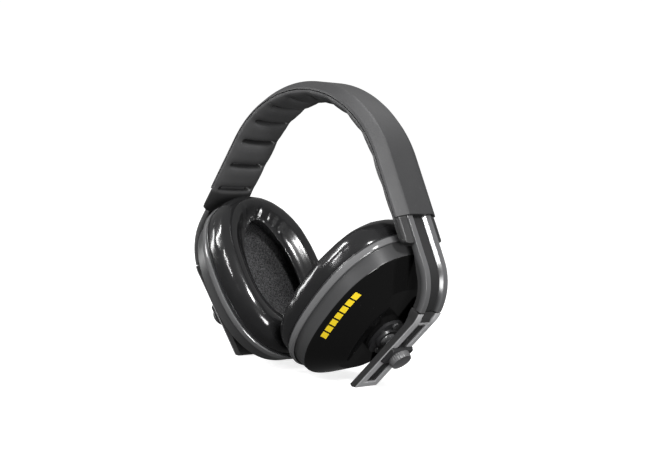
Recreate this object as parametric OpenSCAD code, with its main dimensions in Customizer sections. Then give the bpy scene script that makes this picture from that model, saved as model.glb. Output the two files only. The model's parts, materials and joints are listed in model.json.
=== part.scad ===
// Over-the-head hearing protection earmuffs.
// X runs from ear to ear, Y from the face to the nape, +Z is up.
// The origin lies on the ground, midway between the two feet of the headband.

/* [Headband] */
// Radius of the crown, at the band's outer face
crown_r = 69.4; // [66:0.1:72]
// Angle that each side of the crown turns through before its straight arm
crown_turn = 60.5; // [59:0.5:62]
// Length of the straight arm
arm_len = 64.3; // [62:0.1:67]
// Radius of the shoulder bend, at the band's outer face
bend_r = 30.8; // [29:0.1:33]
// Lean of the slotted bar from the vertical
bar_lean = 41.7; // [40:0.1:43]
// Length of the slotted bar below the shoulder
bar_len = 58.5; // [56:0.5:60]
// Width of the band
band_w = 19.5; // [18:0.5:21]
// Thickness of the band over its raised rails
band_t = 4.2; // [4:0.1:4.6]
// Height of the rails above the web
rail_h = 1.1; // [0.8:0.1:1.4]
// Width of each rail
rail_w = 6.5; // [6:0.1:7]

/* [Slotted bar] */
// Width of the slotted bar
bar_w = 17.5; // [16.5:0.5:19]
// Width of the slot
slot_w = 5.6; // [5:0.1:6]
// Length of the slot
slot_len = 51; // [48:0.5:52]

/* [Crown padding] */
// Width of the crown cover
cover_w = 34.5; // [32:0.5:37]
// Thickness of the crown cover
cover_t = 1.6; // [1.2:0.1:2]
// Length of the cover on each side of the crown, along the band
cover_len = 110; // [105:1:112]
// Length of the padding on each side of the crown, along the band
pad_len = 126.5; // [124:0.5:127]
// Thickness of the padding under the band
pad_t = 4.6; // [4:0.1:5]
// Number of ribs in the padding
pad_ribs = 14; // [12:1:16]

/* [Ear cup] */
// Lean of the cup's long axis from the vertical
cup_lean = 37.5; // [37:0.1:38]
// Half length of the cup at its rim
cup_a = 53; // [52:0.1:53.5]
// Half width of the cup at its rim
cup_b = 39.5; // [38:0.1:41]
// Depth of the rim band
rim_h = 3.9; // [3.5:0.1:4.3]
// Depth of the crease where the side wall meets the back
crease_h = 12.6; // [12:0.1:13.5]
// Depth of the flat top of the back
top_h = 27.2; // [26.5:0.1:27.5]
// Thickness of the shell's wall
wall = 2.4; // [2:0.1:2.6]
// Height of the ear cushion
cushion_h = 16.8; // [15.5:0.1:17]
// Half length of the ear opening
ear_a = 30; // [28:0.5:31]
// Half width of the ear opening
ear_b = 19; // [17:0.5:20]

/* [Ball joint] */
// Radius of the ball
ball_r = 5.2; // [5:0.1:5.4]
// Depth of the ball's centre behind the bar's outer face
ball_drop = 12.5; // [12.3:0.1:12.7]
// Radius of the stud's shank
shank_r = 2.5; // [2.2:0.1:2.7]
// Radius of the sliding knob
knob_r = 6.4; // [6:0.1:7]

/* [Hidden] */

LEFT = -1;
RIGHT = 1;
fine = 48;        // sides of a small round
gap = 0.1;        // between faces that slide or bed on each other
run = 0.05;       // radial running clearance
over = 1;         // how far a cutter runs past the face that it cuts

// ---- The band's centre plane ----
// A distance s runs along the band's outer face from the crown's top down one side.
// An offset o lies outside that face where it is positive. Points are [x, z].
function arc_len(r, a) = r * a * PI / 180;
function arc_turn(r, s) = s / r * 180 / PI;
function facing(a) = [sin(a), cos(a)];

s_arm = arc_len(crown_r, crown_turn);
s_bend = s_arm + arm_len;
bend_turn = 90 + bar_lean - crown_turn;
s_bar = s_bend + arc_len(bend_r, bend_turn);
s_end = s_bar + bar_len;

arm_start = crown_r * facing(crown_turn) - [0, crown_r];
arm_dir = facing(crown_turn + 90);
bend_mid = arm_start + arm_len * arm_dir - bend_r * facing(crown_turn);
bar_out = facing(90 + bar_lean);
bar_dir = facing(180 + bar_lean);
bar_start = bend_mid + bend_r * bar_out;

function along(s, o = 0) =
  s <= s_arm ? (crown_r + o) * facing(arc_turn(crown_r, s)) - [0, crown_r]
  : s <= s_bend ? arm_start + (s - s_arm) * arm_dir + o * facing(crown_turn)
  : s <= s_bar ? bend_mid + (bend_r + o) * facing(crown_turn + arc_turn(bend_r, s - s_bend))
  : bar_start + (s - s_bar) * bar_dir + o * bar_out;

crown_steps = 20;
bend_steps = 16;
short_step = 0.2;     // a stop nearer than this to an end is left out
stops = concat(
  [for (i = [0:crown_steps]) s_arm * i / crown_steps],
  [for (i = [0:bend_steps]) s_bend + (s_bar - s_bend) * i / bend_steps]
);
function stops_between(s0, s1) =
  concat([s0], [for (s = stops) if (s > s0 + short_step && s < s1 - short_step) s], [s1]);
function backwards(list) = [for (i = [len(list) - 1:-1:0]) list[i]];
function flipped(points) = [for (p = points) [-p.x, p.y]];
function line_of(s0, s1, o) = [for (s = stops_between(s0, s1)) along(s, o)];

// Outline of a strip on one side, and of a strip that runs over the crown
function side_strip(s0, s1, o0, o1) = concat(line_of(s0, s1, o1), backwards(line_of(s0, s1, o0)));
function over_line(s1, o) =
  let (half = line_of(0, s1, o)) concat(flipped(backwards(half)), [for (i = [1:len(half) - 1]) half[i]]);
function crown_strip(s1, o0, o1) = concat(over_line(s1, o1), backwards(over_line(s1, o0)));

// The feet are cut level, and the ground lies at that cut.
foot_cut = 1.5;
apex_z = -along(s_end).y - foot_cut;

module extruded_y(w, y = 0) {
  translate([0, y, apex_z]) rotate([90, 0, 0]) linear_extrude(w, center = true) children();
}

module on_side(side) {
  if (side == LEFT) mirror([1, 0, 0]) children();
  else children();
}

// ---- The bar's frame ----
// Its origin is on the bar's outer face at the middle of the slot. X points out, Z up the bar.
slot_end_gap = 0.4;
slot_mid = bar_start + (slot_end_gap + slot_len / 2) * bar_dir;

module on_bar() {
  translate([slot_mid.x, 0, apex_z + slot_mid.y]) rotate([0, bar_lean, 0]) children();
}

// Round things about the ball's axis: their own Z runs out along it.
module out_from(x) {
  translate([x, 0, 0]) rotate([0, 90, 0]) children();
}

// ---- The cup's frame ----
// Its origin is at the middle of the rim. X points out from the head, Z along the cup.
ball_h = 28.5;
ball_at = slot_mid - ball_drop * bar_out;
cup_at = ball_at - ball_h * facing(90 + cup_lean);

module on_cup() {
  translate([cup_at.x, 0, apex_z + cup_at.y]) rotate([0, cup_lean, 0]) children();
}

// The cup's outline is a rounded oval. It is drawn in the plane across the cup's X.
oval_power = 2.35;
oval_sides = 48;
function rounded(v) = sign(v) * pow(abs(v), 2 / oval_power);
function oval(a, b) = [
  for (i = [0:oval_sides - 1])
    let (t = 360 * (i + 0.5) / oval_sides) [-a * rounded(cos(t)), b * rounded(sin(t))]
];

// A slab of oval outline from depth x0 to depth x1
module slab(x0, x1, a, b) {
  translate([x0, 0, 0]) rotate([0, 90, 0]) linear_extrude(x1 - x0) polygon(oval(a, b));
}

thin = 0.05;
module lofted(x0, a0, b0, x1, a1, b1) {
  hull() {
    slab(x0, x0 + thin, a0, b0);
    slab(x1 - thin, x1, a1, b1);
  }
}

// ---- Headband ----
split_s = 167.1;         // the slotted bar is fitted on here
split_gap = 0.7;
rib_w = 2;
rib_h = 2.4;
rib_start = 129;
tongue_w = 8;
tongue_len = 5;
tongue_t = 1.8;

module rails() {
  for (y = [-1, 1])
    extruded_y(rail_w, y * (band_w - rail_w) / 2) children();
}

module headband() {
  color("dimgray") {
    extruded_y(band_w) polygon(crown_strip(split_s, -band_t, -rail_h));
    rails() polygon(crown_strip(split_s, -band_t, 0));
    for (side = [LEFT, RIGHT])
      on_side(side) {
        for (y = [-1, 1])
          extruded_y(rib_w, y * (band_w - rib_w) / 2)
            polygon(side_strip(rib_start, split_s, -band_t - rib_h, -rail_h));
        extruded_y(tongue_w)
          polygon(side_strip(split_s - 1, split_s + tongue_len, -band_t, -band_t + tongue_t));
      }
  }
}

module slot_bar(side) {
  shoulder_w = 19;
  face_w = 10.4;
  face_d = 0.5;
  foot_block = 30;
  color("gray")
    on_side(side)
      difference() {
        union() {
          extruded_y(bar_w) polygon(side_strip(split_s + split_gap, s_end, -band_t, 0));
          extruded_y(shoulder_w) polygon(side_strip(split_s + split_gap, s_bar - 3, -band_t, 0));
          for (y = [-1, 1])
            extruded_y(rib_w, y * (bar_w - rib_w) / 2)
              polygon(side_strip(split_s + split_gap, s_bar - 1, -band_t - rib_h, -rail_h));
        }
        // Pocket for the band's tongue
        extruded_y(tongue_w + 2 * gap)
          polygon(side_strip(split_s, split_s + tongue_len + gap, -band_t - over, -band_t + tongue_t + gap));
        // Groove that runs down into the slot
        extruded_y(slot_w) polygon(side_strip(split_s, s_bar, -rail_h, over));
        on_bar() {
          // Slot, and the shallow face that the runner's flange travels on
          translate([-band_t / 2, 0, 0]) cube([band_t + 2 * over, slot_w, slot_len], center = true);
          translate([-face_d, -face_w / 2, -slot_len / 2 - 1]) cube([over, face_w, slot_len + 2]);
        }
        // Level foot
        translate([along(s_end).x, 0, -foot_block / 2]) cube(foot_block, center = true);
      }
}

// ---- Crown padding ----
lip_w = 1.3;
lip_h = 4;
cheek_gap = 0.15;
groove_w = 2.4;
groove_d = 3.4;
end_taper = 13;
end_top = 0.8;
end_rise = 1.8;
pad_over = 0.3;

module band_cover() {
  color("dimgray") {
    extruded_y(cover_w) polygon(crown_strip(cover_len, gap, gap + cover_t));
    for (y = [-1, 1])
      extruded_y(lip_w, y * (cover_w - lip_w) / 2) polygon(crown_strip(cover_len, -lip_h, gap + cover_t));
  }
}

module band_cushion() {
  inner_w = cover_w - 2 * lip_w - 2 * gap;
  bottom = -band_t - pad_t;
  color("black")
    difference() {
      union() {
        extruded_y(inner_w) polygon(crown_strip(cover_len + over, bottom, 0));
        extruded_y(cover_w) polygon(crown_strip(cover_len, bottom, -lip_h - gap));
        // The ends run on past the cover and get thinner
        for (side = [LEFT, RIGHT])
          on_side(side)
            extruded_y(cover_w)
              polygon([
                along(cover_len + pad_over, -end_top), along(pad_len, -end_top),
                along(pad_len, bottom + end_rise), along(pad_len - end_taper, bottom),
                along(cover_len + pad_over, bottom)
              ]);
      }
      // Channel that the band lies in
      extruded_y(band_w + 2 * cheek_gap) polygon(crown_strip(pad_len + over, -band_t - gap, over));
      // Grooves between the ribs
      for (i = [1:pad_ribs - 1]) {
        s = (2 * i / pad_ribs - 1) * pad_len;
        on_side(s < 0 ? LEFT : RIGHT)
          extruded_y(cover_w + 2 * over)
            polygon([
              along(abs(s) - groove_w / 2, bottom - over), along(abs(s) + groove_w / 2, bottom - over),
              along(abs(s), bottom + groove_d)
            ]);
      }
    }
}

// ---- Slider ----
flange_len = 12;
flange_t = 2.4;
knob_h = 3.8;
knob_flutes = 14;
washer_t = 1;
collar_t = 1.2;
collar_r = 4.2;
clip_r = 4;
clip_t = 0.8;

module slot_runner(side) {
  runner_len = 11;
  color("black")
    on_side(side) on_bar()
      difference() {
        union() {
          translate([gap, -bar_w / 2, -flange_len / 2]) cube([flange_t, bar_w, flange_len]);
          translate([-band_t, -slot_w / 2 + gap, -runner_len / 2])
            cube([band_t + gap + flange_t, slot_w - 2 * gap, runner_len]);
        }
        out_from(-band_t - over) cylinder(r = shank_r + run, h = band_t + flange_t + 3 * over, $fn = fine);
      }
}

module slide_knob(side) {
  flute_r = 0.8;
  pocket_h = 1.8;
  pocket_gap = 0.4;
  foot = gap + flange_t;
  color("dimgray")
    on_side(side) on_bar()
      difference() {
        out_from(foot) cylinder(r = knob_r, h = knob_h, $fn = fine);
        // Pocket over the clip and the stud's end
        out_from(foot - over) cylinder(r = clip_r + pocket_gap, h = pocket_h + over, $fn = fine);
        for (i = [1:knob_flutes])
          rotate([360 / knob_flutes * i, 0, 0])
            translate([0, 0, knob_r + flute_r / 4]) out_from(foot - over)
              cylinder(r = flute_r, h = knob_h + 2 * over, $fn = 24);
      }
}

module thrust_washer(side) {
  washer_r = 6.5;
  color("silver")
    on_side(side) on_bar()
      difference() {
        out_from(-band_t - gap - washer_t) cylinder(r = washer_r, h = washer_t, $fn = fine);
        out_from(-band_t - 2 * over) cylinder(r = shank_r + run, h = 3 * over, $fn = fine);
      }
}

// ---- Ball stud ----
module ball_stud(side) {
  past_clip = 0.3;
  stud_tip = 2 * gap + flange_t + clip_t + past_clip;
  collar_x = -band_t - 2 * gap - washer_t - collar_t;
  color("silver")
    on_side(side) on_bar() {
      translate([-ball_drop, 0, 0]) sphere(r = ball_r, $fn = fine);
      out_from(-ball_drop) cylinder(r = shank_r, h = ball_drop + stud_tip, $fn = fine);
      out_from(collar_x) cylinder(r = collar_r, h = collar_t, $fn = fine);
    }
}

module stud_clip(side) {
  color("silver")
    on_side(side) on_bar()
      difference() {
        out_from(2 * gap + flange_t) cylinder(r = clip_r, h = clip_t, $fn = fine);
        out_from(flange_t - over) cylinder(r = shank_r, h = clip_t + 3 * over, $fn = fine);
      }
}

// ---- Ball seat ----
seat_r = ball_r + 2;
seat_top = 2.6;
seat_foot = 4.6;

module ball_seat(side) {
  color("ivory")
    on_side(side) on_cup()
      translate([ball_h, 0, 0])
        difference() {
          intersection() {
            sphere(r = seat_r, $fn = fine);
            out_from(-seat_foot) cylinder(r = seat_r + over, h = seat_foot + seat_top, $fn = fine);
          }
          sphere(r = ball_r + gap, $fn = fine);
        }
}

// ---- Cup ----
socket_r = seat_r + gap;
side_a = cup_a - 1.2;         // the side wall, just behind the rim band
side_b = cup_b - 1.2;
crease_a = 49;
crease_b = 37;
top_a = 27;
top_b = 20;
boss_r = 12.4;
boss_h = 27.6;
channel_w = 27;
channel_h = 23.6;
screw_z = 9.7;
screw_r = 1.3;
plate_t = 1.8;
ceiling_a = 34;          // the hollow's outline under the back
ceiling_b = 25;

module cup_shell(side) {
  inner_h = 19.4;
  boss_foot = 17.8;
  pilot_h = 4;
  color("black")
    on_side(side) on_cup()
      difference() {
        union() {
          difference() {
            union() {
              lofted(gap, side_a, side_b, crease_h, crease_a, crease_b);
              lofted(crease_h - thin, crease_a, crease_b, top_h, top_a, top_b);
            }
            // Channel that gives the slotted bar room to swing
            translate([channel_h, -channel_w / 2, -cup_a])
              cube([over + top_h - channel_h, channel_w, 2 * cup_a]);
          }
          out_from(boss_foot) cylinder(r = boss_r, h = boss_h - boss_foot, $fn = fine);
        }
        lofted(gap - over, side_a - wall, side_b - wall, crease_h - 1, crease_a - wall, crease_b - wall);
        lofted(crease_h - 1 - thin, crease_a - wall, crease_b - wall, inner_h, ceiling_a, ceiling_b);
        // Socket for the ball seat, and the screws' pilot holes
        translate([ball_h, 0, 0]) sphere(r = socket_r, $fn = fine);
        for (z = [-1, 1])
          translate([0, 0, z * screw_z])
            out_from(boss_h - pilot_h) cylinder(r = screw_r, h = pilot_h + over, $fn = fine);
      }
}

module rim_band(side) {
  color("gray")
    on_side(side) on_cup()
      difference() {
        slab(gap, rim_h, cup_a, cup_b);
        lofted(gap - over, side_a + gap, side_b + gap, rim_h + over, side_a, side_b);
      }
}

module socket_plate(side) {
  plate_a = 12.3;
  plate_b = 9.6;
  color("black")
    on_side(side) on_cup()
      difference() {
        out_from(boss_h + gap) linear_extrude(plate_t) polygon(oval(plate_a, plate_b));
        translate([ball_h, 0, 0]) sphere(r = socket_r, $fn = fine);
        for (z = [-1, 1])
          translate([0, 0, z * screw_z])
            out_from(boss_h - over) cylinder(r = screw_r + gap, h = plate_t + 3 * over, $fn = fine);
      }
}

module plate_screws(side) {
  head_r = 2.1;
  head_h = 1.1;
  slit_w = 0.8;
  shank_h = 3.6;
  color("silver")
    on_side(side) on_cup()
      for (z = [-1, 1])
        translate([0, 0, z * screw_z]) {
          out_from(boss_h - shank_h)
            cylinder(r = screw_r - run, h = shank_h + plate_t + 3 * gap, $fn = fine);
          difference() {
            out_from(boss_h + plate_t + 2 * gap) cylinder(r = head_r, h = head_h, $fn = fine);
            translate([boss_h + plate_t + head_h, -slit_w / 2, -head_r]) cube([over, slit_w, 2 * head_r]);
          }
        }
}

disc_t = 2.4;
disc_h = 4;
disc_in = 1.9;           // the disc and the liner stand this far inside the wall's foot

module foam_liner(side) {
  liner_foot = disc_h + disc_t + gap;
  liner_neck = crease_h - 2;
  liner_top = 17.4;
  liner_in = 1;
  color("dimgray")
    on_side(side) on_cup()
      hull() {
        slab(liner_foot, liner_foot + thin, side_a - wall - disc_in - gap, side_b - wall - disc_in - gap);
        slab(liner_neck, liner_neck + thin, crease_a - wall - liner_in, crease_b - wall - liner_in);
        slab(liner_top, liner_top + thin, ceiling_a - liner_in, ceiling_b - liner_in);
      }
}

module foam_disc(side) {
  color("dimgray")
    on_side(side) on_cup() slab(disc_h, disc_h + disc_t, side_a - wall - disc_in, side_b - wall - disc_in);
}

// ---- Ear cushion ----
// A plastic plate clips into the rim and carries a foam ring in a glossy skin.
plate_h = 1.2;
plate_in = 0.8;          // the plate and the cushion's foot stand this far inside the rim
skin_t = 0.8;
cushion_foot = -plate_h - gap;
shoulder_x = -8;
shoulder_in = 0.4;
crest_in = 11.6;

module cushion_plate(side) {
  spigot_h = 3;
  spigot_t = 3;
  spigot_a = side_a - wall - 1.2;
  spigot_b = side_b - wall - 1.2;
  color("black")
    on_side(side) on_cup()
      difference() {
        union() {
          slab(-plate_h, 0, cup_a - plate_in, cup_b - plate_in);
          slab(-thin, spigot_h, spigot_a, spigot_b);
        }
        slab(-plate_h - over, spigot_h + over, spigot_a - spigot_t, spigot_b - spigot_t);
      }
}

// The ring's outer form, shrunk all round by t
module ring_form(t) {
  hull() {
    slab(cushion_foot - t - thin, cushion_foot - t, cup_a - plate_in - t, cup_b - plate_in - t);
    slab(shoulder_x - thin, shoulder_x, cup_a - shoulder_in - t, cup_b - shoulder_in - t);
    slab(-cushion_h + t, -cushion_h + t + thin, cup_a - crest_in - t / 2, cup_b - crest_in - t / 2);
  }
}

module ring_hole(t) {
  mouth = 4;
  flare = 8;
  hull() {
    slab(-thin, 0, ear_a + flare + t, ear_b + flare + t);
    slab(-cushion_h + mouth, -cushion_h + mouth + thin, ear_a + t, ear_b + t);
  }
  hull() {
    slab(-cushion_h + mouth, -cushion_h + mouth + thin, ear_a + t, ear_b + t);
    slab(-cushion_h - thin, -cushion_h, ear_a + mouth + t, ear_b + mouth + t);
  }
}

module cushion_foam(side) {
  color("gold")
    on_side(side) on_cup()
      difference() {
        ring_form(skin_t + gap);
        ring_hole(skin_t + gap);
      }
}

module cushion_skin(side) {
  color("black")
    on_side(side) on_cup()
      difference() {
        ring_form(0);
        ring_hole(0);
        difference() {
          ring_form(skin_t);
          ring_hole(skin_t);
        }
      }
}

// ---- Assembly ----
headband();
slot_bar(LEFT);  // left_slot_bar
slot_bar(RIGHT);  // right_slot_bar
band_cover();
band_cushion();

slot_runner(LEFT);  // left_slot_runner
slide_knob(LEFT);  // left_slide_knob
thrust_washer(LEFT);  // left_thrust_washer
ball_stud(LEFT);  // left_ball_stud
stud_clip(LEFT);  // left_stud_clip
ball_seat(LEFT);  // left_ball_seat
cup_shell(LEFT);  // left_cup_shell
rim_band(LEFT);  // left_rim_band
socket_plate(LEFT);  // left_socket_plate
plate_screws(LEFT);  // left_plate_screws
foam_liner(LEFT);  // left_foam_liner
foam_disc(LEFT);  // left_foam_disc
cushion_plate(LEFT);  // left_cushion_plate
cushion_foam(LEFT);  // left_cushion_foam
cushion_skin(LEFT);  // left_cushion_skin

slot_runner(RIGHT);  // right_slot_runner
slide_knob(RIGHT);  // right_slide_knob
thrust_washer(RIGHT);  // right_thrust_washer
ball_stud(RIGHT);  // right_ball_stud
stud_clip(RIGHT);  // right_stud_clip
ball_seat(RIGHT);  // right_ball_seat
cup_shell(RIGHT);  // right_cup_shell
rim_band(RIGHT);  // right_rim_band
socket_plate(RIGHT);  // right_socket_plate
plate_screws(RIGHT);  // right_plate_screws
foam_liner(RIGHT);  // right_foam_liner
foam_disc(RIGHT);  // right_foam_disc
cushion_plate(RIGHT);  // right_cushion_plate
cushion_foam(RIGHT);  // right_cushion_foam
cushion_skin(RIGHT);  // right_cushion_skin
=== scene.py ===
import json
import math

import bmesh
import bpy
from mathutils import Matrix, Vector, noise


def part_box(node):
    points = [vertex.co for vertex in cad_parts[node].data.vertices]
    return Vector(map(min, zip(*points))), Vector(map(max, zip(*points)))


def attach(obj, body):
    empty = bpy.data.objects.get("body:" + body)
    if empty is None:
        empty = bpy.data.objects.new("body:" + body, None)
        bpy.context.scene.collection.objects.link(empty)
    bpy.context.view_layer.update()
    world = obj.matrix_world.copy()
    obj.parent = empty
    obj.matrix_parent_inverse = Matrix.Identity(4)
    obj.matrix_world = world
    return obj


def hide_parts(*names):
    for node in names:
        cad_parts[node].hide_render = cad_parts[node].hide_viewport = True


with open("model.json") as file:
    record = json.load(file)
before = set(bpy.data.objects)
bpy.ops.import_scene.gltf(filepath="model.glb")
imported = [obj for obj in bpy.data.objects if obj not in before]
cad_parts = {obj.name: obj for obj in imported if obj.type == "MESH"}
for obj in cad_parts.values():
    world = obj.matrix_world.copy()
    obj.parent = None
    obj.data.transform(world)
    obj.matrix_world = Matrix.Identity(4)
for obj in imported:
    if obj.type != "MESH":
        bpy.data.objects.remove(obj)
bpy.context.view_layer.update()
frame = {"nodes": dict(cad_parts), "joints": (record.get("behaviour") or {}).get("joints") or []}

scene = bpy.context.scene
mm = 0.001

# ---- Studio ----
# A white paper floor that curves up into a round wall, so that there is no horizon from any side.
# It is one line of points, spun round the vertical axis. Six softboxes and a dim sky light it.
floor_r = 2.2
wall_r = 3.0
wall_h = 2.6
cove_steps = 10
round_steps = 64

floor_bm = bmesh.new()
cove_r = wall_r - floor_r
profile = [floor_bm.verts.new((0, 0, 0)), floor_bm.verts.new((floor_r, 0, 0))]
for i in range(1, cove_steps + 1):
    turn = math.radians(90) * i / cove_steps
    spot = (floor_r + cove_r * math.sin(turn), 0, cove_r * (1 - math.cos(turn)))
    profile.append(floor_bm.verts.new(spot))
profile.append(floor_bm.verts.new((wall_r, 0, wall_h)))
for a, b in zip(profile, profile[1:]):
    floor_bm.edges.new((a, b))
bmesh.ops.spin(floor_bm, geom=floor_bm.verts[:] + floor_bm.edges[:], cent=(0, 0, 0), axis=(0, 0, 1),
               angle=math.tau, steps=round_steps, use_merge=True)
bmesh.ops.remove_doubles(floor_bm, verts=floor_bm.verts, dist=0.1 * mm)
bmesh.ops.recalc_face_normals(floor_bm, faces=floor_bm.faces)
if sum(f.normal.z for f in floor_bm.faces) < 0:
    bmesh.ops.reverse_faces(floor_bm, faces=floor_bm.faces)
floor_mesh = bpy.data.meshes.new("studio_floor")
floor_bm.to_mesh(floor_mesh)
floor_bm.free()
floor_mesh.shade_smooth()
studio_floor = bpy.data.objects.new("studio_floor", floor_mesh)
scene.collection.objects.link(studio_floor)

paper = bpy.data.materials.new("studio_paper")
paper.use_nodes = True
surface = paper.node_tree.nodes["Principled BSDF"]
surface.label = "matt paper"
surface.inputs["Base Color"].default_value = (0.5, 0.5, 0.5, 1)
surface.inputs["Roughness"].default_value = 0.9
surface.inputs["Specular IOR Level"].default_value = 0.1
surface.inputs["Emission Color"].default_value = (1, 1, 1, 1)
surface.inputs["Emission Strength"].default_value = 0.8
floor_mesh.materials.append(paper)
# The gloss pieces mirror the softboxes and little else, and the floor throws no light on them
studio_floor.visible_glossy = False
studio_floor.visible_diffuse = False

# The sky is dim at the floor and brighter overhead
scene.world = bpy.data.worlds.new("studio_air")
scene.world.use_nodes = True
sky_nodes = scene.world.node_tree.nodes
sky_links = scene.world.node_tree.links
air = sky_nodes["Background"]
air.inputs["Color"].default_value = (1, 1, 1, 1)
sky_place = sky_nodes.new("ShaderNodeTexCoord")
sky_place.label = "direction"
sky_place.location = (-700, 0)
sky_height = sky_nodes.new("ShaderNodeSeparateXYZ")
sky_height.label = "height"
sky_height.location = (-480, 0)
sky_strength = sky_nodes.new("ShaderNodeMapRange")
sky_strength.label = "brighter from above"
sky_strength.location = (-260, 0)
sky_strength.inputs["From Min"].default_value = -0.3
sky_strength.inputs["From Max"].default_value = 0.7
sky_strength.inputs["To Min"].default_value = 0.08
sky_strength.inputs["To Max"].default_value = 0.38
sky_links.new(sky_place.outputs["Generated"], sky_height.inputs["Vector"])
sky_links.new(sky_height.outputs["Z"], sky_strength.inputs["Value"])
sky_links.new(sky_strength.outputs["Result"], air.inputs["Strength"])
scene.view_settings.view_transform = "Standard"
scene.view_settings.look = "None"

# Softboxes: name, place, width, height, power. Each one looks at the middle of the earmuffs.
look_at = Vector((0, 0, 85 * mm))
softboxes = [
    ("key_softbox", (-0.75, -0.75, 0.75), 0.08, 0.5, 9),
    ("edge_softbox", (-0.25, -1.05, 0.55), 0.05, 0.4, 4),
    ("top_softbox", (0.15, 0.35, 1.1), 0.6, 0.35, 7),
    ("side_softbox", (0.91, -0.53, 0.93), 0.14, 0.22, 14),
    ("low_softbox", (0.95, -0.55, 0.12), 0.3, 0.3, 10),
    ("left_softbox", (-1.25, -0.45, 0.25), 0.2, 0.5, 5),
]
for name, place, width, height, power in softboxes:
    lamp = bpy.data.lights.new(name, "AREA")
    lamp.shape = "RECTANGLE"
    lamp.size = width
    lamp.size_y = height
    lamp.energy = power
    softbox = bpy.data.objects.new(name, lamp)
    softbox.location = place
    softbox.rotation_euler = (look_at - Vector(place)).to_track_quat("-Z", "Y").to_euler()
    scene.collection.objects.link(softbox)

# ---- Camera ----
# It stands to the front right of the earmuffs, a little above the cups, and is rolled a few
# degrees. The lens is long, so that the near cup looks hardly bigger than the far one.
view_turn = math.radians(43.72)
view_rise = math.radians(5.40)
view_roll = math.radians(4.90)
view_far = 868.3 * mm
aim = Vector((0, 0, 94.65 * mm))
aim_right = -3.3 * mm
aim_up = 12.4 * mm
lens_mm = 82.27

back = Vector((math.sin(view_turn) * math.cos(view_rise), -math.cos(view_turn) * math.cos(view_rise),
               math.sin(view_rise)))
level_right = Vector((math.cos(view_turn), math.sin(view_turn), 0))
level_up = back.cross(level_right)
cam_right = level_right * math.cos(view_roll) + level_up * math.sin(view_roll)
cam_up = level_up * math.cos(view_roll) - level_right * math.sin(view_roll)
cam_place = aim + back * view_far - cam_right * aim_right - cam_up * aim_up
camera = bpy.data.objects.new("camera", bpy.data.cameras.new("camera"))
camera.data.lens = lens_mm
camera.data.clip_start = 0.05
cam_axes = Matrix((cam_right, cam_up, back)).transposed()
camera.matrix_world = Matrix.Translation(cam_place) @ cam_axes.to_4x4()
scene.collection.objects.link(camera)
scene.camera = camera

# ---- Headband ----
# One strip of sprung nylon: crown, straight arms and shoulder bends. Two wide rails run along its
# edges with a shallow groove between them, and the inner edges have stiffening ribs by the bends.
crown_r = 69.4 * mm
crown_turn = math.radians(60.5)
arm_len = 64.3 * mm
bend_r = 30.8 * mm
bar_lean = math.radians(41.7)
band_w = 19.5 * mm
band_t = 4.2 * mm
split_s = 167.1 * mm
split_w = 17.8 * mm
rail_top = 4.0 * mm
groove_floor = 3.4 * mm
groove_d = 1.9 * mm
rib_w = 2.0 * mm
rib_h = 2.4 * mm
rib_start = 129 * mm
rib_rise = 14 * mm
rib_bury = 0.6 * mm       # how far a rib goes up into the band
rib_clear = 0.15 * mm
band_steps = 160
rib_steps = 30
apex_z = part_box("headband")[1].z

s_arm = crown_r * crown_turn
s_bend = s_arm + arm_len
s_bar = s_bend + bend_r * (math.radians(90) + bar_lean - crown_turn)
taper_from = s_bend - 10 * mm


def facing(turn):
    return Vector((math.sin(turn), 0, math.cos(turn)))


crown_mid = Vector((0, 0, apex_z - crown_r))
arm_start = crown_mid + crown_r * facing(crown_turn)
arm_dir = facing(crown_turn + math.radians(90))
bend_mid = arm_start + arm_len * arm_dir - bend_r * facing(crown_turn)
bar_out = facing(math.radians(90) + bar_lean)
bar_dir = facing(math.radians(180) + bar_lean)
bar_start = bend_mid + bend_r * bar_out


def on_band(s, y, out):
    """The place at length s along the band's outer face, y across it and out beyond it."""
    far = abs(s)
    if far <= s_arm:
        place = crown_mid + (crown_r + out) * facing(far / crown_r)
    elif far <= s_bend:
        place = arm_start + (far - s_arm) * arm_dir + out * facing(crown_turn)
    elif far <= s_bar:
        place = bend_mid + (bend_r + out) * facing(crown_turn + (far - s_bend) / bend_r)
    else:
        place = bar_start + (far - s_bar) * bar_dir + out * bar_out
    return Vector((math.copysign(place.x, s), y, place.z))


def bend_on_band(bm):
    """A strip is made straight, with X along it and Z out of it, and then bent to the band's line."""
    for v in bm.verts:
        v.co = on_band(*v.co)


def straight_strip(bm, outline, s0, s1, steps):
    """Extrudes an outline of (y, out) points from s0 to s1 in equal steps."""
    face = bm.faces.new([bm.verts.new((s0, y, out)) for y, out in outline])
    bmesh.ops.spin(bm, geom=[face] + face.verts[:] + face.edges[:], cent=(0, 0, 0), axis=(1, 0, 0),
                   dvec=((s1 - s0) / steps, 0, 0), angle=0, steps=steps)
    bmesh.ops.recalc_face_normals(bm, faces=bm.faces)


def smooth_step(value, low, high):
    t = min(max((value - low) / (high - low), 0), 1)
    return t * t * (3 - 2 * t)


def finish_piece(bm, name, body, slot, material, *cad_nodes, edge=0.0, sharp=35):
    """Turns a bmesh into a piece of the object. Hard pieces get a small round on their edges."""
    mesh = bpy.data.meshes.new(name)
    bm.to_mesh(mesh)
    bm.free()
    mesh.shade_smooth()
    mesh.materials.append(material)
    piece = bpy.data.objects.new(name, mesh)
    scene.collection.objects.link(piece)
    if edge:
        rounds = piece.modifiers.new("edge_rounds", "BEVEL")
        rounds.width = edge
        rounds.segments = 2
        rounds.limit_method = "ANGLE"
        rounds.angle_limit = math.radians(sharp)
        even = piece.modifiers.new("even_shading", "WEIGHTED_NORMAL")
        even.keep_sharp = True
    else:
        mesh.set_sharp_from_angle(angle=math.radians(sharp))
    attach(piece, body)
    if cad_nodes:
        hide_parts(*cad_nodes)
    return piece


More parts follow.
